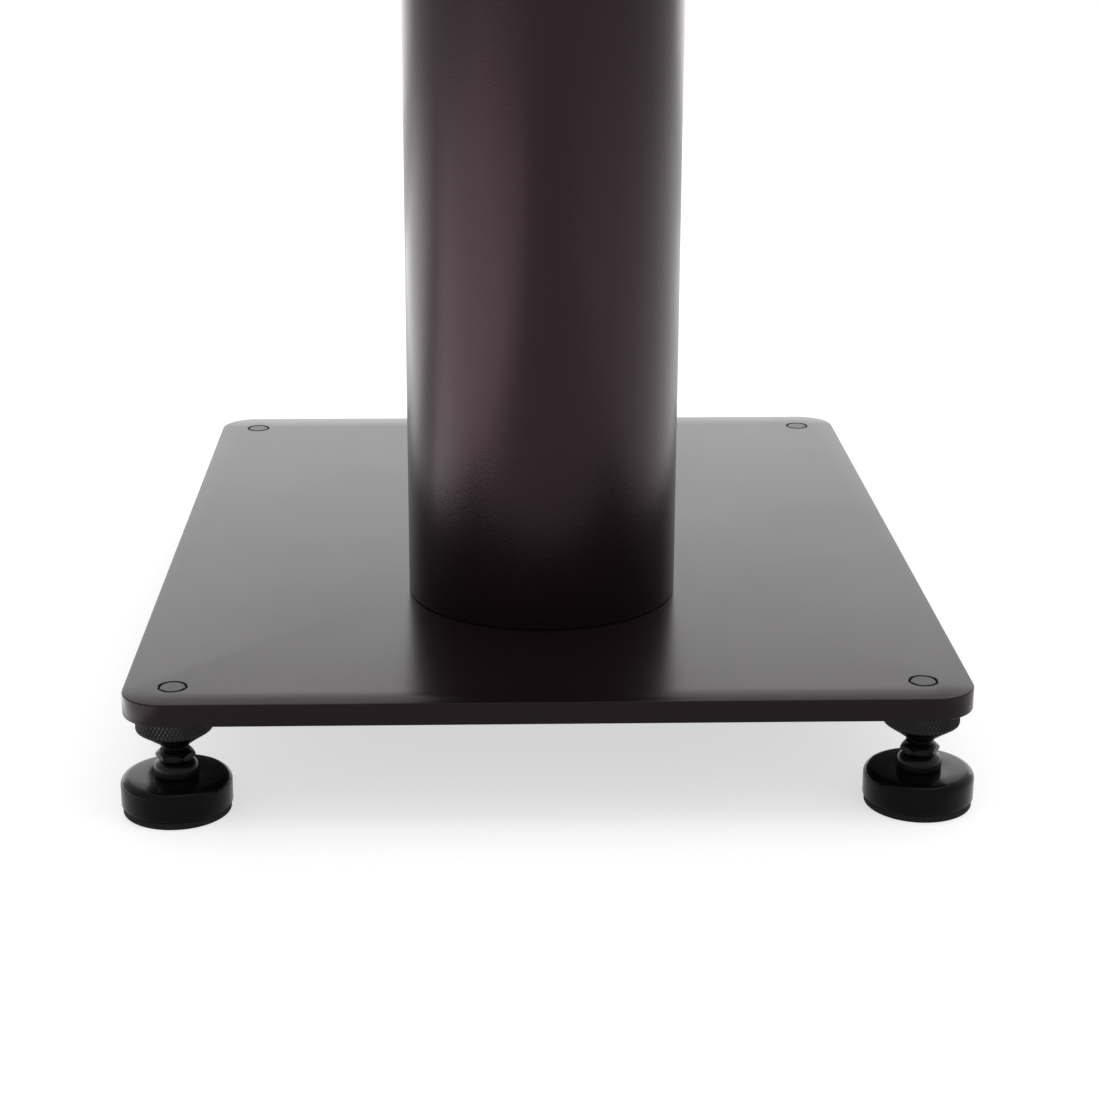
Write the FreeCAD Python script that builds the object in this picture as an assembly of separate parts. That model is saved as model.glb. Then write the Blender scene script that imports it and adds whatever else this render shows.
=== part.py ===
import FreeCAD, Part
import math
import os

# Single-column speaker stand. Millimetres, +Z up, the floor at Z = 0.
# X and Y are centred on the base plate, and the front of the stand faces -Y.

V = FreeCAD.Vector
UP = V(0, 0, 1)

# Whole stand
stand_height = 620.0

# Base plate: steel plate with rounded corners
base_width = 292.0
base_depth = 366.0
base_thickness = 8.0
base_corner_radius = 15.0
plate_edge_break = 0.8

# Top plate: same make, smaller
top_width = 180.0
top_depth = 230.0
top_thickness = 8.0
top_corner_radius = 12.0
speaker_hole_diameter = 6.6
speaker_hole_spacing_x = 120.0
speaker_hole_spacing_y = 160.0

# Column: round steel tube, set forward of the middle of the base
tube_diameter = 101.6
tube_wall = 3.0
column_forward = 63.0
tube_end_break = 0.5

# Flanges welded inside both ends of the tube
flange_thickness = 16.0
flange_bore_diameter = 24.0
flange_slip = 0.1
flange_edge_break = 1.0

# Countersunk machine screws that hold the plates to the flanges
screw_count = 4
screw_circle_diameter = 64.0
screw_diameter = 8.0
screw_length = 20.0
screw_head_diameter = 15.6
screw_head_angle = 90.0
screw_hole_diameter = 9.0
screw_key_width = 5.0
screw_key_depth = 3.4
screw_tip_break = 1.0
screw_seat_gap = 0.1
head_sink = 0.2

# Levelling studs, screwed up through the four corners of the base plate
foot_inset = 17.0
thread_diameter = 10.0
thread_play = 0.05
thread_hole_break = 0.5
stud_end_break = 0.9
spanner_width = 12.0
spanner_height = 3.0
spanner_corner_drop = 0.4
neck_diameter = 6.4
ball_diameter = 10.0

# Lock wheel under the base plate, one on each stud: a rim over a conical hub
wheel_diameter = 26.8
wheel_height = 11.1
wheel_hub_diameter = 16.0
wheel_hub_height = 4.1
wheel_rim_break = 0.9
wheel_bore_break = 0.8
wheel_gap = 0.3
wheel_boss_diameter = 19.0
wheel_boss_height = 0.8

# Foot that swivels on the stud's ball: sole, disc and ball retainer
sole_diameter = 37.3
sole_thickness = 2.5
sole_edge_break = 0.5
disc_diameter = 38.5
disc_top_height = 13.1
disc_shoulder_radius = 3.0
disc_lower_break = 0.7
ball_play = 0.05
ball_centre_rise = 0.9
retainer_diameter = 15.4
retainer_height = 5.4
retainer_crown_radius = 2.7
retainer_top_land = 0.6
spigot_diameter = 13.2
spigot_depth = 2.6
spigot_play = 0.05
swivel_angle = 6.0
swivel_gap = 0.3

# Bare thread between the spanner hexagon and the lock wheel: a stud's travel upwards and a stop gap
stud_travel_up = 2.5
travel_stop_gap = 0.9

# The neck leans with the foot inside a cone, which the retainer's mouth clears by the swivel gap
ball_radius = ball_diameter / 2
ball_height = disc_top_height + ball_centre_rise
cavity_radius = ball_radius + ball_play
retainer_top = disc_top_height + retainer_height
swivel = math.radians(swivel_angle)
lean = math.tan(swivel)
mouth_rise = retainer_top - ball_height
cone_start = neck_diameter / 2 / math.cos(swivel) + swivel_gap
mouth_radius = cone_start + mouth_rise * lean

# The throat is where that cone meets the ball cavity
cone_square = 1 + lean ** 2
cone_root = math.sqrt(cone_square * cavity_radius ** 2 - cone_start ** 2)
throat_rise = (cone_root - cone_start * lean) / cone_square
throat_radius = cone_start + throat_rise * lean

# The rim of the leaning retainer rises, so the spanner hexagon starts above it
rim_radius = mouth_radius + retainer_top_land
rim_lift = mouth_rise * math.cos(swivel) + rim_radius * math.sin(swivel)
spanner_bottom = ball_height + rim_lift + swivel_gap
spanner_top = spanner_bottom + spanner_height

# Upwards from there: lock wheel, base plate, tube and top plate
wheel_bottom = spanner_top + stud_travel_up + travel_stop_gap
wheel_top = wheel_bottom + wheel_height
plate_bottom = wheel_top + wheel_gap
plate_top = plate_bottom + base_thickness
tube_bottom = plate_top
tube_top = stand_height - top_thickness
tube_inner_radius = tube_diameter / 2 - tube_wall
flange_radius = tube_inner_radius - flange_slip
thread_hole_radius = thread_diameter / 2 + thread_play

column_centre = V(0, -column_forward, 0)
foot_places = {
    "front_left": V(-base_width / 2 + foot_inset, -base_depth / 2 + foot_inset, 0),
    "front_right": V(base_width / 2 - foot_inset, -base_depth / 2 + foot_inset, 0),
    "rear_left": V(-base_width / 2 + foot_inset, base_depth / 2 - foot_inset, 0),
    "rear_right": V(base_width / 2 - foot_inset, base_depth / 2 - foot_inset, 0),
}


def revolve(points):
    """Solid of revolution about Z from (radius, height) points, taken in order."""
    path = [V(r, 0, z) for r, z in points]
    face = Part.Face(Part.makePolygon(path + path[:1]))
    return face.revolve(V(0, 0, 0), UP, 360)


def revolve_edges(edges):
    """Solid of revolution about Z from joined edges drawn in the XZ plane."""
    return Part.Face(Part.Wire(edges)).revolve(V(0, 0, 0), UP, 360)


def line(start, end):
    return Part.LineSegment(V(start[0], 0, start[1]), V(end[0], 0, end[1])).toShape()


def arc(start, middle, end):
    return Part.Arc(V(start[0], 0, start[1]), V(middle[0], 0, middle[1]), V(end[0], 0, end[1])).toShape()


def round_corner(centre, radius, from_angle, to_angle):
    """Arc about a centre in the XZ plane, its angles in degrees from +X towards +Z."""
    points = []
    for angle in (from_angle, (from_angle + to_angle) / 2, to_angle):
        turn = math.radians(angle)
        points.append((centre[0] + radius * math.cos(turn), centre[1] + radius * math.sin(turn)))
    return arc(*points), points[0], points[2]


def hexagon(width, bottom, height):
    """Upright hexagonal prism on the Z axis, width across its flats."""
    corner = width / math.sqrt(3)
    ring = [V(corner * math.cos(math.radians(60 * i)), corner * math.sin(math.radians(60 * i)), bottom)
            for i in range(6)]
    return Part.Face(Part.makePolygon(ring + ring[:1])).extrude(UP * height)


def moved(shape, offset):
    copy = shape.copy()
    copy.translate(offset)
    return copy


def rounded_plate(width, depth, thickness, corner_radius, bottom):
    """Plate with rounded corners and softly broken top and bottom edges."""
    plate = Part.makeBox(width, depth, thickness, V(-width / 2, -depth / 2, bottom))
    upright = [e for e in plate.Edges if abs(e.Vertexes[0].Z - e.Vertexes[-1].Z) > thickness / 2]
    plate = plate.makeFillet(corner_radius, upright)
    rims = [e for e in plate.Edges if abs(e.Vertexes[0].Z - e.Vertexes[-1].Z) < thickness / 2]
    return plate.makeChamfer(min(plate_edge_break, thickness / 4), rims)


def screw_places():
    """Centres of the flange screws, on a circle about the column's axis."""
    places = []
    for i in range(screw_count):
        turn = math.radians(45 + 360 * i / screw_count)
        places.append(column_centre + V(math.cos(turn), math.sin(turn), 0) * (screw_circle_diameter / 2))
    return places


# Countersunk heads: the cone narrows from the head's diameter to the shank
head_slope = math.tan(math.radians(screw_head_angle / 2))
head_depth = (screw_head_diameter - screw_diameter) / 2 / head_slope


def countersunk_screw():
    """Screw with its head's flat face at Z = 0 and its shank pointing up."""
    shank = screw_diameter / 2
    head = screw_head_diameter / 2
    body = revolve([(0, 0), (head, 0), (shank, head_depth), (shank, screw_length - screw_tip_break),
                    (shank - screw_tip_break, screw_length), (0, screw_length)])
    return body.cut(hexagon(screw_key_width, 0, screw_key_depth))


def countersunk_hole(depth):
    """Cutter for one screw: from the plate's outer face at Z = 0 up through depth."""
    hole = screw_hole_diameter / 2
    mouth = screw_head_diameter / 2 + head_sink * head_slope + screw_seat_gap
    cone_depth = (mouth - hole) / head_slope
    return revolve([(0, -1), (mouth, -1), (mouth, 0), (hole, cone_depth), (hole, depth + 1), (0, depth + 1)])


def upside_down(shape, height):
    """The shape turned over about the X axis, with its Z = 0 plane put at height."""
    copy = shape.copy()
    copy.rotate(V(0, 0, 0), V(1, 0, 0), 180)
    copy.translate(V(0, 0, height))
    return copy


def base_plate():
    plate = rounded_plate(base_width, base_depth, base_thickness, base_corner_radius, plate_bottom)
    hole = thread_hole_radius
    wide = hole + thread_hole_break
    bore = revolve([(0, plate_bottom - 1), (wide, plate_bottom - 1), (wide, plate_bottom),
                    (hole, plate_bottom + thread_hole_break), (hole, plate_top - thread_hole_break),
                    (wide, plate_top), (wide, plate_top + 1), (0, plate_top + 1)])
    cutters = [moved(bore, place) for place in foot_places.values()]
    sink = countersunk_hole(base_thickness)
    cutters += [moved(sink, place + UP * plate_bottom) for place in screw_places()]
    return plate.cut(cutters)


def top_plate():
    plate = rounded_plate(top_width, top_depth, top_thickness, top_corner_radius, tube_top)
    sink = upside_down(countersunk_hole(top_thickness), stand_height)
    cutters = [moved(sink, place) for place in screw_places()]
    drill = Part.makeCylinder(speaker_hole_diameter / 2, top_thickness + 2, V(0, 0, tube_top - 1))
    for x in (-speaker_hole_spacing_x / 2, speaker_hole_spacing_x / 2):
        for y in (-speaker_hole_spacing_y / 2, speaker_hole_spacing_y / 2):
            cutters.append(moved(drill, V(x, y, 0)))
    return plate.cut(cutters)


def column_tube():
    outer = tube_diameter / 2
    inner = tube_inner_radius
    edge = min(tube_end_break, tube_wall / 4)
    tube = revolve([(inner, tube_bottom), (outer - edge, tube_bottom), (outer, tube_bottom + edge),
                    (outer, tube_top - edge), (outer - edge, tube_top), (inner, tube_top)])
    return moved(tube, column_centre)


def flange(bottom):
    """Thick ring that slips into the tube, tapped for the screws."""
    bore = flange_bore_diameter / 2
    edge = flange_edge_break
    top = bottom + flange_thickness
    ring = revolve([(bore, bottom), (flange_radius - edge, bottom), (flange_radius, bottom + edge),
                    (flange_radius, top - edge), (flange_radius - edge, top), (bore, top)])
    tap = Part.makeCylinder(screw_diameter / 2 + thread_play, flange_thickness + 2, V(0, 0, bottom - 1))
    return moved(ring, column_centre).cut([moved(tap, place) for place in screw_places()])


def base_screws():
    screw = countersunk_screw()
    return [moved(screw, place + UP * (plate_bottom + head_sink)) for place in screw_places()]


def top_screws():
    screw = upside_down(countersunk_screw(), stand_height - head_sink)
    return [moved(screw, place) for place in screw_places()]


def foot_stud():
    """Threaded stud, a spanner hexagon, and a neck that ends in a ball."""
    thread = thread_diameter / 2
    neck = neck_diameter / 2
    ball_meets_neck = ball_height + math.sqrt(ball_radius ** 2 - neck ** 2)
    shaft = revolve_edges([
        arc((0, ball_height - ball_radius), (ball_radius, ball_height), (neck, ball_meets_neck)),
        line((neck, ball_meets_neck), (neck, spanner_top)),
        line((neck, spanner_top), (thread, spanner_top)),
        line((thread, spanner_top), (thread, plate_top - stud_end_break)),
        line((thread, plate_top - stud_end_break), (thread - stud_end_break, plate_top)),
        line((thread - stud_end_break, plate_top), (0, plate_top)),
        line((0, plate_top), (0, ball_height - ball_radius)),
    ])
    corner = spanner_width / math.sqrt(3)
    flat = spanner_width / 2
    top_land = flat + (corner - flat) / 3
    collar = hexagon(spanner_width, spanner_bottom, spanner_height)
    drop = min(spanner_corner_drop, spanner_height / 3)
    dome = revolve([(0, spanner_bottom), (top_land, spanner_bottom), (corner, spanner_bottom + drop),
                    (corner, spanner_top - drop), (top_land, spanner_top), (0, spanner_top)])
    return shaft.fuse(collar.common(dome)).removeSplitter()


def lock_wheel():
    """Round nut: a rim over a conical hub, and a raised ring where it bears on the plate."""
    rim = wheel_diameter / 2
    hole = thread_hole_radius
    hub = wheel_hub_diameter / 2
    boss = wheel_boss_diameter / 2
    shelf = wheel_top - wheel_boss_height
    return revolve([
        (hole + wheel_bore_break, wheel_bottom), (hub, wheel_bottom),
        (rim, wheel_bottom + wheel_hub_height), (rim, shelf - wheel_rim_break),
        (rim - wheel_rim_break, shelf), (boss, shelf), (boss, wheel_top),
        (hole + wheel_bore_break, wheel_top), (hole, wheel_top - wheel_bore_break),
        (hole, wheel_bottom + wheel_bore_break),
    ])


def ball_retainer():
    """Domed collar whose spigot sits in the disc and whose cavity holds the ball."""
    outer = retainer_diameter / 2
    spigot = spigot_diameter / 2
    spigot_bottom = disc_top_height - spigot_depth
    crown = min(retainer_crown_radius, retainer_height / 2, outer - rim_radius)
    low_rise = spigot_bottom - ball_height
    low_radius = math.sqrt(cavity_radius ** 2 - low_rise ** 2)
    shoulder, start, end = round_corner((outer - crown, retainer_top - crown), crown, 0, 90)
    throat = (throat_radius, ball_height + throat_rise)
    middle_rise = (low_rise + throat_rise) / 2
    middle = (math.sqrt(cavity_radius ** 2 - middle_rise ** 2), ball_height + middle_rise)
    edges = [
        line((low_radius, spigot_bottom), (spigot, spigot_bottom)),
        line((spigot, spigot_bottom), (spigot, disc_top_height)),
        line((spigot, disc_top_height), (outer, disc_top_height)),
        line((outer, disc_top_height), start),
        shoulder,
    ]
    if end[0] - mouth_radius > 0.001:
        edges.append(line(end, (mouth_radius, retainer_top)))
    edges.append(line((mouth_radius, retainer_top), throat))
    edges.append(arc(throat, middle, (low_radius, spigot_bottom)))
    return revolve_edges(edges)


def foot_disc():
    """Heavy disc with a rounded shoulder and a spherical seat for the ball."""
    outer = disc_diameter / 2
    recess = spigot_diameter / 2 + spigot_play
    seat_top = disc_top_height - spigot_depth
    seat_radius = math.sqrt(cavity_radius ** 2 - (seat_top - ball_height) ** 2)
    seat_low = ball_height - cavity_radius
    turn = math.atan2(seat_top - ball_height, seat_radius)
    half = (turn - math.pi / 2) / 2
    middle = (cavity_radius * math.cos(half), ball_height + cavity_radius * math.sin(half))
    shoulder, start, end = round_corner(
        (outer - disc_shoulder_radius, disc_top_height - disc_shoulder_radius), disc_shoulder_radius, 0, 90)
    return revolve_edges([
        line((0, sole_thickness), (outer - disc_lower_break, sole_thickness)),
        line((outer - disc_lower_break, sole_thickness), (outer, sole_thickness + disc_lower_break)),
        line((outer, sole_thickness + disc_lower_break), start),
        shoulder,
        line(end, (recess, disc_top_height)),
        line((recess, disc_top_height), (recess, seat_top)),
        line((recess, seat_top), (seat_radius, seat_top)),
        arc((seat_radius, seat_top), middle, (0, seat_low)),
        line((0, seat_low), (0, sole_thickness)),
    ])


def foot_sole():
    rim = sole_diameter / 2
    edge = sole_edge_break
    return revolve([(0, 0), (rim - edge, 0), (rim, edge), (rim, sole_thickness), (0, sole_thickness)])


def save(name, solids):
    shape = solids if isinstance(solids, Part.Shape) else Part.makeCompound(solids)
    shape.exportStep(os.path.join("parts", name + ".step"))


os.makedirs("parts", exist_ok=True)
save("base_plate", base_plate())
save("column_tube", column_tube())
save("lower_flange", flange(tube_bottom))
save("upper_flange", flange(tube_top - flange_thickness))
save("base_screws", base_screws())
save("top_plate", top_plate())
save("top_screws", top_screws())
for corner_name, place in foot_places.items():
    save(corner_name + "_foot_stud", moved(foot_stud(), place))
    save(corner_name + "_lock_wheel", moved(lock_wheel(), place))
    save(corner_name + "_ball_retainer", moved(ball_retainer(), place))
    save(corner_name + "_foot_disc", moved(foot_disc(), place))
    save(corner_name + "_foot_sole", moved(foot_sole(), place))

print("base plate's top above the floor", round(plate_top, 2))
print("stud from ball to end", round(plate_top - ball_height + ball_radius, 2))
print("ball centre above the floor", round(ball_height, 2))
print("wheel centre above the floor", round((wheel_top + wheel_bottom) / 2, 2))
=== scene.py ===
import bpy, bmesh
import math
from mathutils import Euler, Matrix, Vector


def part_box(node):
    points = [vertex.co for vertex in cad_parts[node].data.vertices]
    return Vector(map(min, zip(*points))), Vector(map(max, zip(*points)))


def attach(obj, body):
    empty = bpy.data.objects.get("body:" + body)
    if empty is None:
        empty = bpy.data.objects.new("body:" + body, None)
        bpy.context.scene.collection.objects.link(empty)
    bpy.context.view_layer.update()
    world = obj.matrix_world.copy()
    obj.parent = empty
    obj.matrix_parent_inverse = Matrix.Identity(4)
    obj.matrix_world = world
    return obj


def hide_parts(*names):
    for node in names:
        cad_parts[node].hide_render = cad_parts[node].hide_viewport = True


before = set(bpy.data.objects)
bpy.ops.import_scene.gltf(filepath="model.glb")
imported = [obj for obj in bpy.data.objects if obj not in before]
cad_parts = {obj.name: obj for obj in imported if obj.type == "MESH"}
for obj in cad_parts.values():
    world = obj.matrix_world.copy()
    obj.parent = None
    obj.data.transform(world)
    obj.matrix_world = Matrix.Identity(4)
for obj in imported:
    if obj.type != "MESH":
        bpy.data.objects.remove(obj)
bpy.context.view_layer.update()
mm = 0.001
pole = 0.0001 * mm    # a radius under this is a point on the axis
levelFace = 0.9995    # a face whose normal is this near to upright is shaded flat
corners = ("front_left", "front_right", "rear_left", "rear_right")
print("frame loaded,", len(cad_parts), "nodes")


def hexColour(text):  # sRGB hex to the linear values that the shaders take
    parts = [int(text[i:i + 2], 16) / 255 for i in (1, 3, 5)]
    linear = [p / 12.92 if p <= 0.04045 else ((p + 0.055) / 1.055) ** 2.4 for p in parts]
    return (*linear, 1.0)


# Adds one node, whose inputs each take a value or another node's output
def addNode(tree, kind, inputs=None, **settings):
    node = tree.nodes.new(kind)
    for name, value in settings.items():
        setattr(node, name, value)
    for key, value in (inputs or {}).items():
        if isinstance(value, bpy.types.NodeSocket):
            tree.links.new(value, node.inputs[key])
        else:
            node.inputs[key].default_value = value
    return node


def newMaterial(name):
    material = bpy.data.materials.new(name)
    material.use_nodes = True
    material.node_tree.nodes.clear()
    return material, material.node_tree


def boxOf(node):
    low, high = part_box(node)
    return Vector(low), Vector(high)


def axisOf(node):  # a round node's centre in plan
    low, high = boxOf(node)
    return Vector(((low.x + high.x) / 2, (low.y + high.y) / 2, 0))


coatValues = {
    "colour": "#0e080a",      # warm black pigment
    "mottle": "#150e10",      # a shade lighter, where the film is thinner
    "grain": 0.9 * mm,        # size of the coat's texture, drawn as coarse as it shows
    "patch": 60 * mm,         # size of the faint uneven patches
}


# Steel with a fine-texture satin powder coat: sprayed dry and baked, so the film keeps a fine even grain.
# The eye gets a soft, wide sheen that is faint and warm face on and turns pale at a low angle. The grain
# shows only where light rakes it.
def powderCoatedSteel(name, bump, roughLow, roughHigh, ior, sheen):
    material, tree = newMaterial(name)
    place = addNode(tree, "ShaderNodeTexCoord").outputs["Object"]
    grain = addNode(tree, "ShaderNodeTexNoise", {
        "Vector": place, "Scale": 1 / coatValues["grain"], "Detail": 3.0, "Roughness": 0.6}).outputs["Fac"]
    patch = addNode(tree, "ShaderNodeTexNoise", {
        "Vector": place, "Scale": 1 / coatValues["patch"], "Detail": 2.0}).outputs["Fac"]
    colour = addNode(tree, "ShaderNodeMix", {
        0: grain, 6: hexColour(coatValues["colour"]), 7: hexColour(coatValues["mottle"])},
        data_type="RGBA")
    rough = addNode(tree, "ShaderNodeMapRange", {
        "Value": patch, "From Min": 0.3, "From Max": 0.7, "To Min": roughLow, "To Max": roughHigh})
    height = addNode(tree, "ShaderNodeBump", {"Height": grain, "Strength": bump, "Distance": 0.1 * mm})
    shader = addNode(tree, "ShaderNodeBsdfPrincipled", {
        "Base Color": colour.outputs[2], "Roughness": rough.outputs[0], "Normal": height.outputs[0],
        "IOR": ior, "Specular Tint": hexColour(sheen)})
    addNode(tree, "ShaderNodeOutputMaterial", {"Surface": shader.outputs[0]})
    return material


oxideValues = {"grain": 1.6 * mm}


# Machined steel with an oiled black oxide: the tool marks stay under a thin dark skin.
# The eye gets a dark metal with small bright glints on edges and thread crests.
def blackOxideSteel(name, roughness, skin, worn):
    material, tree = newMaterial(name)
    place = addNode(tree, "ShaderNodeTexCoord").outputs["Object"]
    cloud = addNode(tree, "ShaderNodeTexNoise", {
        "Vector": place, "Scale": 1 / oxideValues["grain"], "Detail": 4.0}).outputs["Fac"]
    colour = addNode(tree, "ShaderNodeMix", {
        0: cloud, 6: hexColour(skin), 7: hexColour(worn)}, data_type="RGBA")
    rough = addNode(tree, "ShaderNodeMapRange", {
        "Value": cloud, "To Min": roughness - 0.06, "To Max": roughness + 0.08})
    shader = addNode(tree, "ShaderNodeBsdfPrincipled", {
        "Base Color": colour.outputs[2], "Roughness": rough.outputs[0], "Metallic": 0.8})
    addNode(tree, "ShaderNodeOutputMaterial", {"Surface": shader.outputs[0]})
    return material


glossValues = {
    "colour": "#070707", "haze": "#0e0d0e", "sheen": "#a0a0a0", "patch": 9 * mm, "peel": 2.2 * mm,
}


# Turned steel with a baked black lacquer: polished on the disc, a clear dark mirror with a very slight
# orange peel, and left as sprayed on the collar, where the eye gets a softer glow.
def blackLacquer(name, roughLow, roughHigh, ior):
    material, tree = newMaterial(name)
    place = addNode(tree, "ShaderNodeTexCoord").outputs["Object"]
    haze = addNode(tree, "ShaderNodeTexNoise", {
        "Vector": place, "Scale": 1 / glossValues["patch"], "Detail": 3.0}).outputs["Fac"]
    peel = addNode(tree, "ShaderNodeTexNoise", {
        "Vector": place, "Scale": 1 / glossValues["peel"], "Detail": 1.0}).outputs["Fac"]
    colour = addNode(tree, "ShaderNodeMix", {
        0: haze, 6: hexColour(glossValues["colour"]), 7: hexColour(glossValues["haze"])},
        data_type="RGBA")
    rough = addNode(tree, "ShaderNodeMapRange", {"Value": haze, "To Min": roughLow, "To Max": roughHigh})
    height = addNode(tree, "ShaderNodeBump", {"Height": peel, "Strength": 0.12, "Distance": 0.02 * mm})
    shader = addNode(tree, "ShaderNodeBsdfPrincipled", {
        "Base Color": colour.outputs[2], "Roughness": rough.outputs[0], "Normal": height.outputs[0],
        "IOR": ior, "Specular Tint": hexColour(glossValues["sheen"])})
    addNode(tree, "ShaderNodeOutputMaterial", {"Surface": shader.outputs[0]})
    return material


rubberValues = {"colour": "#0b0a0a", "bloom": "#131212", "grain": 0.8 * mm}


# Moulded rubber sole: dull, with a faint grey bloom and a fine pebble from the mould.
def mouldedRubber(name):
    material, tree = newMaterial(name)
    place = addNode(tree, "ShaderNodeTexCoord").outputs["Object"]
    pebble = addNode(tree, "ShaderNodeTexNoise", {
        "Vector": place, "Scale": 1 / rubberValues["grain"], "Detail": 2.0}).outputs["Fac"]
    colour = addNode(tree, "ShaderNodeMix", {
        0: pebble, 6: hexColour(rubberValues["colour"]), 7: hexColour(rubberValues["bloom"])},
        data_type="RGBA")
    rough = addNode(tree, "ShaderNodeMapRange", {"Value": pebble, "To Min": 0.7, "To Max": 0.86})
    height = addNode(tree, "ShaderNodeBump", {"Height": pebble, "Strength": 0.3, "Distance": 0.05 * mm})
    shader = addNode(tree, "ShaderNodeBsdfPrincipled", {
        "Base Color": colour.outputs[2], "Roughness": rough.outputs[0], "Normal": height.outputs[0],
        "IOR": 1.3})
    addNode(tree, "ShaderNodeOutputMaterial", {"Surface": shader.outputs[0]})
    return material


steelValues = {"colour": "#8d8a86", "streak": "#a5a29c", "feed": 0.25 * mm}


# Turned mild steel, unpainted: the eye gets a bright metal, greyed by the fine marks of the lathe tool.
def turnedSteel(name):
    material, tree = newMaterial(name)
    place = addNode(tree, "ShaderNodeTexCoord").outputs["Object"]
    marks = addNode(tree, "ShaderNodeTexNoise", {
        "Vector": place, "Scale": 1 / steelValues["feed"], "Detail": 2.0}).outputs["Fac"]
    colour = addNode(tree, "ShaderNodeMix", {
        0: marks, 6: hexColour(steelValues["colour"]), 7: hexColour(steelValues["streak"])},
        data_type="RGBA")
    rough = addNode(tree, "ShaderNodeMapRange", {"Value": marks, "To Min": 0.34, "To Max": 0.46})
    shader = addNode(tree, "ShaderNodeBsdfPrincipled", {
        "Base Color": colour.outputs[2], "Roughness": rough.outputs[0], "Metallic": 1.0})
    addNode(tree, "ShaderNodeOutputMaterial", {"Surface": shader.outputs[0]})
    return material


columnCoat = powderCoatedSteel("powderCoatedTube", 0.5, 0.25, 0.31, 1.36, "#ffd7e5")
plateCoat = powderCoatedSteel("powderCoatedPlate", 0.1, 0.22, 0.25, 1.25, "#ffe9ee")
oxideTurned = blackOxideSteel("blackOxideTurned", 0.38, "#0a0a0a", "#141313")
oxideKnurled = blackOxideSteel("blackOxideKnurled", 0.2, "#0f0e0e", "#1d1a1a")
lacquer = blackLacquer("polishedBlackLacquer", 0.10, 0.16, 1.26)
collarLacquer = blackLacquer("sprayedBlackLacquer", 0.28, 0.38, 1.45)
rubber = mouldedRubber("mouldedRubber")
bareSteel = turnedSteel("turnedSteel")
print("materials made")


def arcPoints(centre, start, end, steps):  # the shorter arc about centre from start to end
    first = math.atan2(*(start - centre).yx)
    turn = (math.atan2(*(end - centre).yx) - first + math.pi) % (2 * math.pi) - math.pi
    radius = (start - centre).length
    angles = [first + turn * k / steps for k in range(steps + 1)]
    return [centre + Vector((math.cos(angle), math.sin(angle))) * radius for angle in angles]


# Closed loop from (x, y, rounding): each corner is rounded by its own radius
def softLoop(points, steps):
    loop = []
    for i, (x, y, rounding) in enumerate(points):
        here = Vector((x, y))
        if rounding <= 0:
            loop.append(here)
            continue
        before = (Vector(points[i - 1][:2]) - here).normalized()
        after = (Vector(points[(i + 1) % len(points)][:2]) - here).normalized()
        half = before.angle(after) / 2
        centre = here + (before + after).normalized() * (rounding / math.sin(half))
        reach = rounding / math.tan(half)
        loop += arcPoints(centre, here + before * reach, here + after * reach, steps)
    return loop


def newObject(name, build):  # an object whose mesh the build function fills
    mesh = bpy.data.meshes.new(name)
    shape = bmesh.new()
    build(shape)
    bmesh.ops.recalc_face_normals(shape, faces=shape.faces)
    shape.to_mesh(mesh)
    shape.free()
    piece = bpy.data.objects.new(name, mesh)
    bpy.context.scene.collection.objects.link(piece)
    return piece


# The closed loop of (radius, height) turned about an upright axis
def lathe(name, loop, centre, segments=96):
    def build(shape):
        rings = []
        for radius, height in loop:
            if radius < pole:
                rings.append([shape.verts.new((centre.x, centre.y, height))])
                continue
            turns = [2 * math.pi * k / segments for k in range(segments)]
            rings.append([shape.verts.new((
                centre.x + radius * math.cos(turn), centre.y + radius * math.sin(turn), height))
                for turn in turns])
        for low, high in zip(rings, rings[1:] + rings[:1]):
            for k in range(segments):
                after = (k + 1) % segments
                face = [low[k % len(low)], low[after % len(low)],
                        high[after % len(high)], high[k % len(high)]]
                face = list(dict.fromkeys(face))  # a point on the axis counts once
                if len(face) > 2:
                    shape.faces.new(face)
    return newObject(name, build)


# Plate between its box's two corners, with round corners and softened edges
def plateBlank(name, low, high, cornerRadius, edgeRound, steps=4, cornerSteps=20):
    middle = (low + high) / 2
    half = (high - low) / 2

    def build(shape):
        levels = []
        for k in range(steps + 1):
            turn = math.pi / 2 * k / steps
            levels.append((edgeRound * (1 - math.sin(turn)), low.z + edgeRound * (1 - math.cos(turn))))
        levels += [(inset, low.z + high.z - height) for inset, height in reversed(levels)]
        rings = []
        for inset, height in levels:
            x, y, r = half.x - inset, half.y - inset, cornerRadius - inset
            outline = softLoop([(-x, -y, r), (x, -y, r), (x, y, r), (-x, y, r)], cornerSteps)
            rings.append([shape.verts.new((middle.x + p.x, middle.y + p.y, height)) for p in outline])
        count = len(rings[0])
        for a, b in zip(rings, rings[1:]):
            for k in range(count):
                shape.faces.new((a[k], a[(k + 1) % count], b[(k + 1) % count], b[k]))
        shape.faces.new(rings[0])
        shape.faces.new(rings[-1])
    return newObject(name, build)


def evaluated(piece):  # replaces the mesh by the one that its modifiers give
    mesh = bpy.data.meshes.new_from_object(piece.evaluated_get(bpy.context.evaluated_depsgraph_get()))
    piece.modifiers.clear()
    piece.data = mesh
    return piece


def combine(piece, others, operation):  # boolean with each of the others, which are then removed
    for other in others:
        step = piece.modifiers.new(other.name, "BOOLEAN")
        step.operation = operation
        step.object = other
        step.solver = "EXACT"
    evaluated(piece)
    for other in others:
        bpy.data.objects.remove(other)
    return piece


def joined(name, pieces):  # several pieces as one object
    def build(shape):
        for piece in pieces:
            shape.from_mesh(piece.data)
    whole = newObject(name, build)
    for piece in pieces:
        bpy.data.objects.remove(piece)
    return whole


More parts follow.
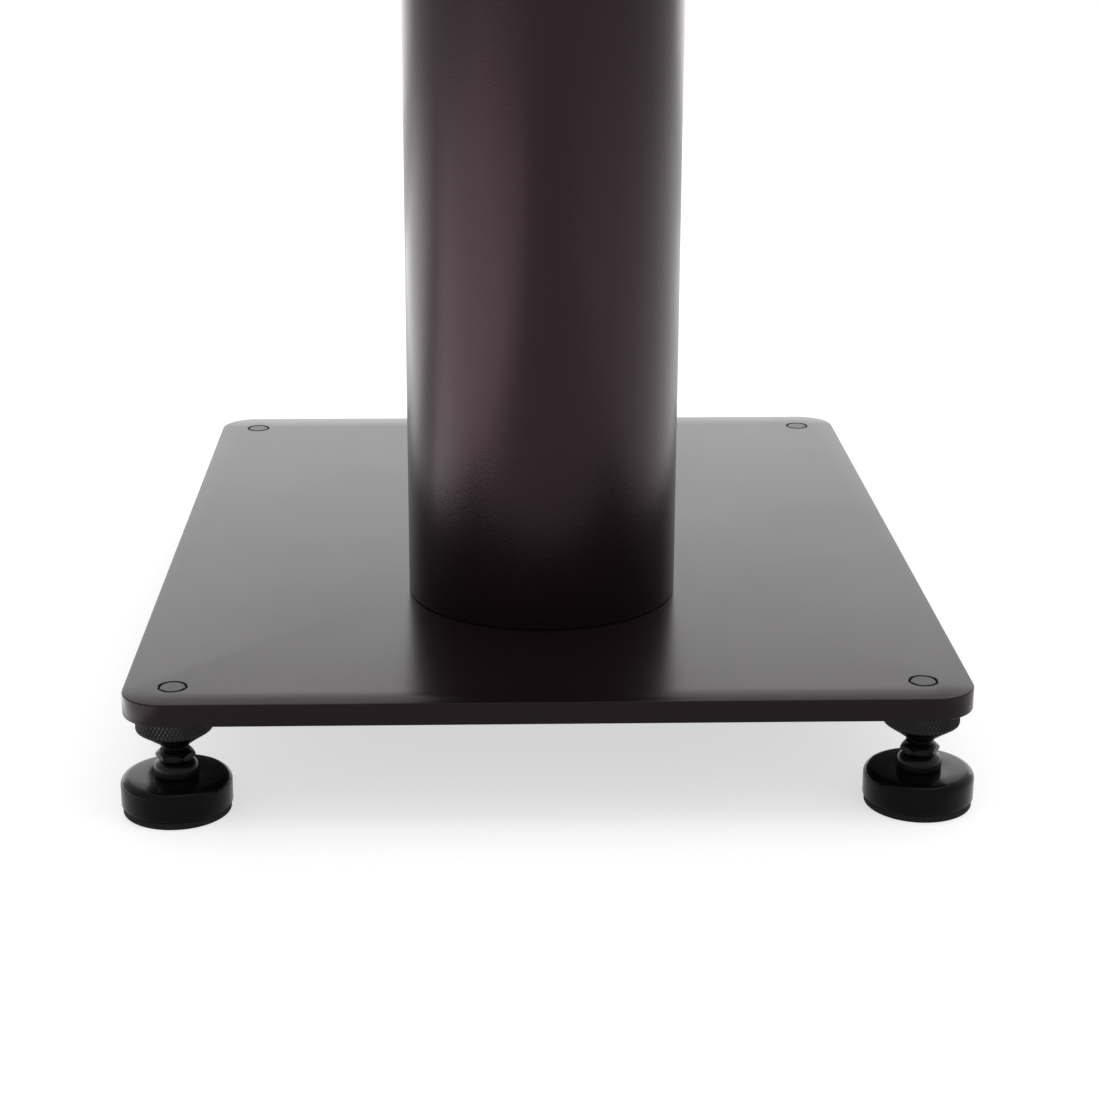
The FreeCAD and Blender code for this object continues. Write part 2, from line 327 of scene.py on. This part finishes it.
# Shading, finish, body and the node that the piece stands for
def dress(piece, material, body, node, sharp=35):
    mesh = piece.data
    mesh.materials.clear()
    mesh.materials.append(material)
    for face in mesh.polygons:
        face.use_smooth = abs(face.normal.z) < levelFace
    mesh.set_sharp_from_angle(angle=math.radians(sharp))
    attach(piece, body)
    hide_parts(node)


def newTree(name, inputs):  # a Geometry Nodes tree whose named inputs are lengths or counts
    tree = bpy.data.node_groups.new(name, "GeometryNodeTree")
    tree.interface.new_socket("Geometry", in_out="OUTPUT", socket_type="NodeSocketGeometry")
    for label, kind in inputs.items():
        tree.interface.new_socket(label, in_out="INPUT", socket_type=kind)
    return tree, addNode(tree, "NodeGroupInput").outputs


def closeTree(tree, geometry, material):  # the tree's end: real mesh, with its material
    real = addNode(tree, "GeometryNodeRealizeInstances", {"Geometry": geometry})
    finish = addNode(tree, "GeometryNodeSetMaterial", {"Geometry": real.outputs[0], "Material": material})
    addNode(tree, "NodeGroupOutput", {"Geometry": finish.outputs[0]})


def grow(name, tree, values):  # runs a tree with its values and keeps the plain mesh
    piece = bpy.data.objects.new(name, bpy.data.meshes.new(name))
    bpy.context.scene.collection.objects.link(piece)
    step = piece.modifiers.new(tree.name, "NODES")
    step.node_group = tree
    sockets = {s.name: s.identifier for s in tree.interface.items_tree if s.in_out == "INPUT"}
    for label, value in values.items():
        step[sockets[label]] = value
    return evaluated(piece)


# Diamond knurl: points on a cylinder in staggered rows, with a four-sided pyramid on each.
# Each row is turned by half a pitch more than the one below it.
def knurlTree(material):
    tree, given = newTree("diamondKnurl", {
        "Around": "NodeSocketInt", "Rows": "NodeSocketInt", "Radius": "NodeSocketFloat",
        "Low": "NodeSocketFloat", "Row Step": "NodeSocketFloat", "Height": "NodeSocketFloat"})
    index = addNode(tree, "GeometryNodeInputIndex").outputs[0]
    count = addNode(tree, "ShaderNodeMath", {0: given["Around"], 1: given["Rows"]},
                    operation="MULTIPLY").outputs[0]
    rounds = addNode(tree, "ShaderNodeMath", {0: index, 1: given["Around"]},
                     operation="DIVIDE").outputs[0]
    row = addNode(tree, "ShaderNodeMath", {0: rounds}, operation="FLOOR").outputs[0]
    steps = addNode(tree, "ShaderNodeMath", {0: row, 1: 0.5, 2: index},
                    operation="MULTIPLY_ADD").outputs[0]
    pitch = addNode(tree, "ShaderNodeMath", {0: 2 * math.pi, 1: given["Around"]},
                    operation="DIVIDE").outputs[0]
    angle = addNode(tree, "ShaderNodeMath", {0: steps, 1: pitch}, operation="MULTIPLY").outputs[0]
    level = addNode(tree, "ShaderNodeMath", {0: row, 1: given["Row Step"], 2: given["Low"]},
                    operation="MULTIPLY_ADD").outputs[0]
    start = addNode(tree, "ShaderNodeCombineXYZ", {0: given["Radius"], 2: level})
    spot = addNode(tree, "ShaderNodeVectorRotate", {"Vector": start.outputs[0], "Angle": angle},
                   rotation_type="Z_AXIS")
    points = addNode(tree, "GeometryNodePoints", {"Count": count, "Position": spot.outputs[0]})
    pyramid = addNode(tree, "GeometryNodeMeshCone", {
        "Vertices": 4, "Radius Top": 0.0, "Radius Bottom": 1.0, "Depth": 1.0}, fill_type="NONE")
    facing = addNode(tree, "ShaderNodeCombineXYZ", {1: math.pi / 2, 2: angle})
    width = addNode(tree, "ShaderNodeMath", {0: pitch, 1: given["Radius"]},
                    operation="MULTIPLY").outputs[0]
    halfWidth = addNode(tree, "ShaderNodeMath", {0: width, 1: 0.5}, operation="MULTIPLY").outputs[0]
    size = addNode(tree, "ShaderNodeCombineXYZ", {
        0: given["Row Step"], 1: halfWidth, 2: given["Height"]})
    studded = addNode(tree, "GeometryNodeInstanceOnPoints", {
        "Points": points.outputs[0], "Instance": pyramid.outputs["Mesh"],
        "Rotation": facing.outputs[0], "Scale": size.outputs[0]})
    closeTree(tree, studded.outputs[0], material)
    return tree


threadFlank = 0.46    # half of a thread's foot, as a share of the pitch


# Screw thread: a helix at the root of the thread, swept with a four-cornered section.
def threadTree(material):
    tree, given = newTree("screwThread", {
        "Root": "NodeSocketFloat", "Crest": "NodeSocketFloat", "Pitch": "NodeSocketFloat",
        "Length": "NodeSocketFloat", "Low": "NodeSocketFloat"})
    turns = addNode(tree, "ShaderNodeMath", {0: given["Length"], 1: given["Pitch"]},
                    operation="DIVIDE").outputs[0]
    depth = addNode(tree, "ShaderNodeMath", {0: given["Crest"], 1: given["Root"]},
                    operation="SUBTRACT").outputs[0]
    flank = addNode(tree, "ShaderNodeMath", {0: given["Pitch"], 1: threadFlank},
                    operation="MULTIPLY").outputs[0]
    helix = addNode(tree, "GeometryNodeCurveSpiral", {
        "Resolution": 40, "Rotations": turns, "Start Radius": given["Root"], "End Radius": given["Root"],
        "Height": given["Length"]})
    upright = addNode(tree, "GeometryNodeSetCurveNormal", {"Curve": helix.outputs[0]}, mode="Z_UP")
    section = addNode(tree, "GeometryNodeCurvePrimitiveCircle", {"Resolution": 4, "Radius": 1.0})
    size = addNode(tree, "ShaderNodeCombineXYZ", {0: depth, 1: flank, 2: 1.0})
    shaped = addNode(tree, "GeometryNodeTransform", {
        "Geometry": section.outputs[0], "Scale": size.outputs[0]})
    swept = addNode(tree, "GeometryNodeCurveToMesh", {
        "Curve": upright.outputs[0], "Profile Curve": shaped.outputs[0], "Fill Caps": True})
    lift = addNode(tree, "ShaderNodeCombineXYZ", {2: given["Low"]})
    placed = addNode(tree, "GeometryNodeTransform", {
        "Geometry": swept.outputs[0], "Translation": lift.outputs[0]})
    closeTree(tree, placed.outputs[0], material)
    return tree


# Screws on a circle: copies of one screw at equal turns.
def screwRingTree(material):
    tree, given = newTree("screwRing", {
        "Screw": "NodeSocketObject", "Count": "NodeSocketInt", "Radius": "NodeSocketFloat",
        "Turn": "NodeSocketFloat"})
    ring = addNode(tree, "GeometryNodeMeshCircle", {
        "Vertices": given["Count"], "Radius": given["Radius"]})
    spin = addNode(tree, "ShaderNodeCombineXYZ", {2: given["Turn"]})
    turned = addNode(tree, "GeometryNodeTransform", {
        "Geometry": ring.outputs[0], "Rotation": spin.outputs[0]})
    model = addNode(tree, "GeometryNodeObjectInfo", {"Object": given["Screw"]})
    copies = addNode(tree, "GeometryNodeInstanceOnPoints", {
        "Points": turned.outputs[0], "Instance": model.outputs["Geometry"]})
    closeTree(tree, copies.outputs[0], material)
    return tree


columnValues = {"endRound": 0.5 * mm, "wall": 3.0 * mm, "segments": 256}


def makeColumn():
    low, high = boxOf("column_tube")
    outer = (high.x - low.x) / 2
    inner = outer - columnValues["wall"]
    soft = columnValues["endRound"]
    loop = softLoop([(inner, low.z, soft / 2), (outer, low.z, soft),
                     (outer, high.z, soft), (inner, high.z, soft / 2)], 4)
    tube = lathe("columnTube", loop, axisOf("column_tube"), columnValues["segments"])
    dress(tube, columnCoat, "stand", "column_tube")


makeColumn()
print("column made")


screwValues = {  # circle, shank, hole and head are radii
    "count": 4, "circle": 32 * mm, "firstTurn": math.radians(45),
    "shank": 4.0 * mm, "hole": 4.5 * mm, "head": 7.8 * mm, "length": 20 * mm, "edge": 0.35 * mm,
    "keyWidth": 5.0 * mm, "keyDepth": 3.4 * mm,
    "sink": 0.2 * mm, "seatGap": 0.05 * mm,
    "cutDepth": 12 * mm,    # past the far face of either plate
}


def screwSpots():
    centre = axisOf("column_tube")
    count = screwValues["count"]
    turns = [screwValues["firstTurn"] + 2 * math.pi * k / count for k in range(count)]
    return [centre + Vector((math.cos(t), math.sin(t), 0)) * screwValues["circle"] for t in turns]


def sinkCutter(spot, face, inward):  # countersink from a plate's outer face inwards, along +Z or -Z
    mouth = screwValues["head"] + screwValues["sink"] + screwValues["seatGap"]
    hole = screwValues["hole"]
    far = screwValues["cutDepth"]
    heights = [(0, -mm), (mouth + mm, -mm), (hole, mouth - hole), (hole, far), (0, far)]
    return lathe("sink", [(r, face + inward * h) for r, h in heights], spot, segments=48)


def boreCutter(spot, low, high, radius, rounding):  # straight hole with broken edges
    loop = [(0, low - mm), (radius + rounding + mm, low - mm), (radius, low + rounding),
            (radius, high - rounding), (radius + rounding + mm, high + mm), (0, high + mm)]
    return lathe("bore", loop, spot, segments=64)


plateValues = {
    "edgeRound": 0.45 * mm, "baseCorner": 15 * mm, "topCorner": 12 * mm,
    "boreRadius": 5.05 * mm, "boreBreak": 0.3 * mm,
    "speakerHole": 3.3 * mm, "speakerBreak": 0.4 * mm, "speakerSpacing": (120 * mm, 160 * mm),
}


def makePlates():
    low, high = boxOf("base_plate")
    base = plateBlank("basePlate", low, high, plateValues["baseCorner"], plateValues["edgeRound"])
    cutters = [sinkCutter(spot, low.z, 1) for spot in screwSpots()]
    for corner in corners:
        cutters.append(boreCutter(axisOf(corner + "_foot_disc"), low.z, high.z,
                                  plateValues["boreRadius"], plateValues["boreBreak"]))
    combine(base, cutters, "DIFFERENCE")
    dress(base, plateCoat, "stand", "base_plate")

    low, high = boxOf("top_plate")
    top = plateBlank("topPlate", low, high, plateValues["topCorner"], plateValues["edgeRound"])
    cutters = [sinkCutter(spot, high.z, -1) for spot in screwSpots()]
    across, along = plateValues["speakerSpacing"]
    for x in (-across / 2, across / 2):
        for y in (-along / 2, along / 2):
            cutters.append(boreCutter(Vector((x, y, 0)), low.z, high.z,
                                      plateValues["speakerHole"], plateValues["speakerBreak"]))
    combine(top, cutters, "DIFFERENCE")
    dress(top, plateCoat, "stand", "top_plate")


def screwModel():  # countersunk screw with a hexagon socket, head up, its face at Z = 0
    head, shank, edge = screwValues["head"], screwValues["shank"], screwValues["edge"]
    length, keyDepth = screwValues["length"], screwValues["keyDepth"]
    middle = Vector((0, 0, 0))
    loop = softLoop([(0, 0, 0), (head, 0, edge / 2), (shank, shank - head, 0), (shank, -length, edge),
                     (0, -length, 0)], 3)
    body = lathe("screwModel", loop, middle, segments=48)
    wide = screwValues["keyWidth"] / math.sqrt(3)
    socket = lathe("key", [(0, -keyDepth), (wide, -keyDepth), (wide, mm), (0, mm)], middle, segments=6)
    return combine(body, [socket], "DIFFERENCE")


def makeScrews():
    model = screwModel()
    tree = screwRingTree(oxideTurned)
    centre = axisOf("column_tube")
    for name, node, upwards in (("topScrews", "top_screws", True), ("baseScrews", "base_screws", False)):
        low, high = boxOf(node)
        ring = grow(name, tree, {
            "Screw": model, "Count": screwValues["count"], "Radius": screwValues["circle"],
            "Turn": screwValues["firstTurn"]})
        flip = Matrix.Identity(4) if upwards else Matrix.Rotation(math.pi, 4, "X")
        ring.data.transform(Matrix.Translation((centre.x, centre.y, high.z if upwards else low.z)) @ flip)
        dress(ring, oxideTurned, "stand", node)
    bpy.data.objects.remove(model)


makePlates()
makeScrews()
print("plates and screws made")


studValues = {  # root, crest, neck and ball are radii
    "pitch": 1.5 * mm, "root": 4.25 * mm, "crest": 4.98 * mm, "endBreak": 0.9 * mm,
    "runOut": 0.45 * mm,        # from the thread's end to the broken edge
    "threadEnds": 0.2 * mm,     # plain length at each end of the ridge
    "clearThread": 3.4 * mm,    # between the hexagon and the lock wheel
    "neck": 3.2 * mm, "ball": 5.0 * mm, "neckStep": 0.4 * mm,
    "hexWidth": 12 * mm, "hexHeight": 3.0 * mm, "hexRound": 0.2 * mm,
    "hexEdge": 0.25 * mm, "hexRise": 0.8 * mm,          # lower chamfer
    "hexTopEdge": 0.7 * mm, "hexTopDrop": 1.5 * mm,     # upper chamfer
}


def makeStud(corner, tree):
    node = corner + "_foot_stud"
    low, high = boxOf(node)
    centre = axisOf(corner + "_foot_disc")
    ball, neck, root = studValues["ball"], studValues["neck"], studValues["root"]
    wheelLow = boxOf(corner + "_lock_wheel")[0].z
    hexTop = wheelLow - studValues["clearThread"]
    hexLow = hexTop - studValues["hexHeight"]
    ballCentre = Vector((0, low.z + ball))
    meet = Vector((neck, ballCentre.y + math.sqrt(ball ** 2 - neck ** 2)))
    side = Vector((ball, ballCentre.y))
    loop = arcPoints(ballCentre, Vector((0, low.z)), side, 10) + arcPoints(ballCentre, side, meet, 6)[1:]
    crest, cut = studValues["crest"], studValues["endBreak"]
    step, ends = studValues["neckStep"], studValues["threadEnds"]
    threadTop = high.z - cut - studValues["runOut"]
    loop += [Vector(p) for p in (
        (neck, hexLow + step), (root, hexLow + 2 * step), (root, threadTop), (crest, threadTop + ends),
        (crest, high.z - cut), (crest - cut, high.z), (0, high.z))]
    core = lathe("core", loop, centre, segments=64)
    wide = studValues["hexWidth"] / math.sqrt(3)
    flat = studValues["hexWidth"] / 2
    soft = studValues["hexRound"]
    prism = lathe("hexCollar", [(0, hexLow), (wide, hexLow), (wide, hexTop), (0, hexTop)],
                  centre, segments=6)
    cap = lathe("cap", softLoop([
        (0, hexLow, 0), (flat - studValues["hexEdge"], hexLow, 0),
        (wide, hexLow + studValues["hexRise"], soft), (wide, hexTop - studValues["hexTopDrop"], soft),
        (flat - studValues["hexTopEdge"], hexTop, 0), (0, hexTop, 0)], 3), centre, segments=64)
    combine(prism, [cap], "INTERSECT")
    ridge = grow("ridge", tree, {
        "Root": root, "Crest": crest, "Pitch": studValues["pitch"],
        "Length": threadTop - hexTop - 2 * ends, "Low": hexTop + ends})
    ridge.data.transform(Matrix.Translation(centre))
    stud = joined(corner + "FootStud", [core, prism, ridge])
    dress(stud, oxideTurned, corner + "_stud", node)


wheelValues = {  # hub, boss and bore are radii
    "around": 57, "rows": 4, "rowStep": 1.2 * mm, "knurlDepth": 0.42 * mm,
    "knurlSink": 0.02 * mm,     # how deep the pyramids' feet lie in the rim
    "rimBreak": 0.5 * mm, "edgeRound": 0.15 * mm,
    "hub": 6.7 * mm, "hubHeight": 4.1 * mm, "hubRound": 0.3 * mm,
    "boss": 9.5 * mm, "bossHeight": 0.8 * mm, "bore": 5.05 * mm, "boreBreak": 0.7 * mm,
}


def makeWheel(corner, tree):
    node = corner + "_lock_wheel"
    low, high = boxOf(node)
    centre = axisOf(node)
    rim = (high.x - low.x) / 2
    root = rim - wheelValues["knurlDepth"]
    shelf = high.z - wheelValues["bossHeight"]
    rimLow = low.z + wheelValues["hubHeight"]
    boss, bore, taper = wheelValues["boss"], wheelValues["bore"], wheelValues["boreBreak"]
    cut, soft = wheelValues["rimBreak"], wheelValues["edgeRound"]
    loop = softLoop([
        (bore + taper, low.z, 0), (wheelValues["hub"], low.z, wheelValues["hubRound"]),
        (root - cut, rimLow, soft), (root, rimLow + cut, soft), (root, shelf - cut, soft),
        (root - cut, shelf, soft), (boss, shelf, 0), (boss, high.z, soft), (bore + taper, high.z, 0),
        (bore, high.z - taper, 0), (bore, low.z + taper, 0)], 3)
    body = lathe("wheelBody", loop, centre, segments=2 * wheelValues["around"])
    rows, step = wheelValues["rows"], wheelValues["rowStep"]
    knurlLow = (rimLow + shelf) / 2 - step * (rows - 1) / 2
    knurl = grow("knurl", tree, {
        "Around": wheelValues["around"], "Rows": rows, "Radius": root - wheelValues["knurlSink"],
        "Low": knurlLow, "Row Step": step, "Height": wheelValues["knurlDepth"]})
    knurl.data.transform(Matrix.Translation(centre))
    wheel = joined(corner + "LockWheel", [body, knurl])
    dress(wheel, oxideKnurled, corner + "_wheel", node)


# Where the disc, the retainer and the ball meet
footValues = {"play": 0.05 * mm, "recess": 6.65 * mm, "spigotDepth": 2.6 * mm}


def cavityArc(ballCentre, low, high):  # the ball's seat between two heights, from the lower end up
    radius = studValues["ball"] + footValues["play"]
    start = Vector((math.sqrt(max(radius ** 2 - (low - ballCentre) ** 2, 0)), low))
    end = Vector((math.sqrt(radius ** 2 - (high - ballCentre) ** 2), high))
    return arcPoints(Vector((0, ballCentre)), start, end, 10)


retainerValues = {
    "crown": 2.7 * mm, "mouth": 4.0 * mm, "lip": 0.15 * mm, "foot": 0.5 * mm,
    "throat": 3.2 * mm,    # height of the seat's upper end over the ball's centre
}


def makeRetainer(corner):
    node = corner + "_ball_retainer"
    low, high = boxOf(node)
    ballCentre = boxOf(corner + "_foot_stud")[0].z + studValues["ball"]
    outer = (high.x - low.x) / 2
    seatTop = low.z + footValues["spigotDepth"]
    spigot = footValues["recess"] - footValues["play"]
    outside = softLoop([
        (spigot, low.z, 0), (spigot, seatTop, 0), (outer, seatTop, retainerValues["foot"]),
        (outer, high.z, retainerValues["crown"]),
        (retainerValues["mouth"], high.z, retainerValues["lip"])], 8)
    seat = cavityArc(ballCentre, low.z, ballCentre + retainerValues["throat"])
    retainer = lathe(corner + "BallRetainer", outside + seat[::-1], axisOf(node))
    dress(retainer, collarLacquer, corner + "_foot", node, sharp=50)


discValues = {
    "shoulder": 3.0 * mm, "lower": 0.7 * mm, "lowerRound": 0.4 * mm, "fineRound": 0.1 * mm,
}


def makeDisc(corner):
    node = corner + "_foot_disc"
    low, high = boxOf(node)
    ballCentre = boxOf(corner + "_foot_stud")[0].z + studValues["ball"]
    outer = (high.x - low.x) / 2
    recess = footValues["recess"]
    seatTop = high.z - footValues["spigotDepth"]
    lower, fine = discValues["lower"], discValues["fineRound"]
    outside = softLoop([
        (0, low.z, 0), (outer - lower, low.z, fine), (outer, low.z + lower, discValues["lowerRound"]),
        (outer, high.z, discValues["shoulder"]), (recess, high.z, fine), (recess, seatTop, 0)], 8)
    seat = cavityArc(ballCentre, ballCentre - studValues["ball"] - footValues["play"], seatTop)
    disc = lathe(corner + "FootDisc", outside + seat[::-1], axisOf(node), segments=128)
    dress(disc, lacquer, corner + "_foot", node, sharp=50)


soleValues = {"lowerEdge": 0.5 * mm, "upperEdge": 0.1 * mm}


def makeSole(corner):
    node = corner + "_foot_sole"
    low, high = boxOf(node)
    outer = (high.x - low.x) / 2
    loop = softLoop([(0, low.z, 0), (outer, low.z, soleValues["lowerEdge"]),
                     (outer, high.z, soleValues["upperEdge"]), (0, high.z, 0)], 4)
    sole = lathe(corner + "FootSole", loop, axisOf(node))
    dress(sole, rubber, corner + "_foot", node)


studThread = threadTree(oxideTurned)
wheelKnurl = knurlTree(oxideKnurled)
for corner in corners:
    makeStud(corner, studThread)
    makeWheel(corner, wheelKnurl)
    makeRetainer(corner)
    makeDisc(corner)
    makeSole(corner)
    print("foot made:", corner)

for node in ("lower_flange", "upper_flange"):  # hidden inside the tube
    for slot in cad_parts[node].material_slots:
        slot.material = bareSteel


# 1 for what the eye sees straight on or in a mirror or glass, 0 for light on the object
def seenDirectly(tree):
    rays = addNode(tree, "ShaderNodeLightPath").outputs
    bent = addNode(tree, "ShaderNodeMath", {0: rays["Is Glossy Ray"], 1: rays["Is Transmission Ray"]},
                   operation="MAXIMUM")
    seen = addNode(tree, "ShaderNodeMath", {0: rays["Is Camera Ray"], 1: bent.outputs[0]},
                   operation="MAXIMUM")
    return seen.outputs[0]


# The glow makes the floor white to the eye and keeps the shadow
floorValues = {"colour": "#c2c1c2", "half": 30.0, "glow": 0.62}


def makeFloor():
    half = floorValues["half"]
    floor = newObject("floor", lambda shape: shape.faces.new(
        [shape.verts.new((x * half, y * half, 0)) for x, y in ((-1, -1), (1, -1), (1, 1), (-1, 1))]))
    material, tree = newMaterial("paleFloor")
    strength = addNode(tree, "ShaderNodeMath", {0: seenDirectly(tree), 1: floorValues["glow"]},
                       operation="MULTIPLY")
    shader = addNode(tree, "ShaderNodeBsdfPrincipled", {
        "Base Color": hexColour(floorValues["colour"]), "Roughness": 0.9, "Specular IOR Level": 0.0,
        "Emission Color": (1, 1, 1, 1), "Emission Strength": strength.outputs[0]})
    addNode(tree, "ShaderNodeOutputMaterial", {"Surface": shader.outputs[0]})
    floor.data.materials.append(material)


worldValues = {"plain": 0.7, "seen": 1.0}    # strength as light, and as the eye's white background


def makeWorld():
    world = bpy.data.worlds.new("studio")
    bpy.context.scene.world = world
    world.use_nodes = True
    tree = world.node_tree
    tree.nodes.clear()
    white = (1, 1, 1, 1)
    plain = addNode(tree, "ShaderNodeBackground", {"Color": white, "Strength": worldValues["plain"]})
    seen = addNode(tree, "ShaderNodeBackground", {"Color": white, "Strength": worldValues["seen"]})
    mix = addNode(tree, "ShaderNodeMixShader", {
        0: seenDirectly(tree), 1: plain.outputs[0], 2: seen.outputs[0]})
    addNode(tree, "ShaderNodeOutputWorld", {"Surface": mix.outputs[0]})


lampValues = {  # place, aim, size and radiance, white being 1
    "overheadSoftbox": ((0.3, 0.0, 2.2), (0, 0, 0), (1.6, 1.6), 1.5),
    "backSoftbox": ((0, 1.5, 0.4), (0, 0, 0.4), (3.2, 0.8), 1.38),
    "leftFrontPanel": ((-0.65, -0.485, 0.004), (-0.65, -0.485, 1), (0.9, 0.93), 2.4),
    "leftRearPanel": ((-0.65, 0.45, 0.004), (-0.65, 0.45, 1), (0.8, 0.6), 1.6),
    "rightPanel": ((0.65, -0.05, 0.004), (0.65, -0.05, 1), (0.8, 1.7), 0.45),
}


def makeLamp(name, place, aim, size, radiance):
    lamp = bpy.data.lights.new(name, "AREA")
    lamp.shape = "RECTANGLE"
    lamp.size, lamp.size_y = size
    lamp.energy = radiance * math.pi * size[0] * size[1]
    holder = bpy.data.objects.new(name, lamp)
    bpy.context.scene.collection.objects.link(holder)
    holder.location = place
    holder.rotation_euler = (Vector(aim) - Vector(place)).to_track_quat("-Z", "Y").to_euler()
    holder.visible_camera = False


cameraValues = {  # solved from the photo's edges; place counts in plate widths from the plate's top
    "unit": 292 * mm, "plateTop": 45 * mm, "place": (-0.0819, -3.1286, 1.0190),
    "tilt": 16.95, "yaw": -1.82, "roll": 0.22, "lens": 76.44, "shift": -0.0545,
}


def makeCamera():
    camera = bpy.data.objects.new("camera", bpy.data.cameras.new("camera"))
    bpy.context.scene.collection.objects.link(camera)
    camera.data.sensor_width = 36
    camera.data.lens = cameraValues["lens"]
    camera.data.shift_y = cameraValues["shift"]
    camera.data.clip_end = 100
    offset = Vector(cameraValues["place"]) * cameraValues["unit"]
    camera.location = offset + Vector((0, 0, cameraValues["plateTop"]))
    tilt, yaw, roll = (math.radians(cameraValues[key]) for key in ("tilt", "yaw", "roll"))
    turn = Euler((math.pi / 2 - tilt, 0, yaw)).to_matrix() @ Matrix.Rotation(roll, 3, "Z")
    camera.rotation_euler = turn.to_euler()
    bpy.context.scene.camera = camera


makeFloor()
makeWorld()
for name, settings in lampValues.items():
    makeLamp(name, *settings)
makeCamera()
bpy.context.scene.view_settings.view_transform = "Standard"
print("floor, lights and camera made")
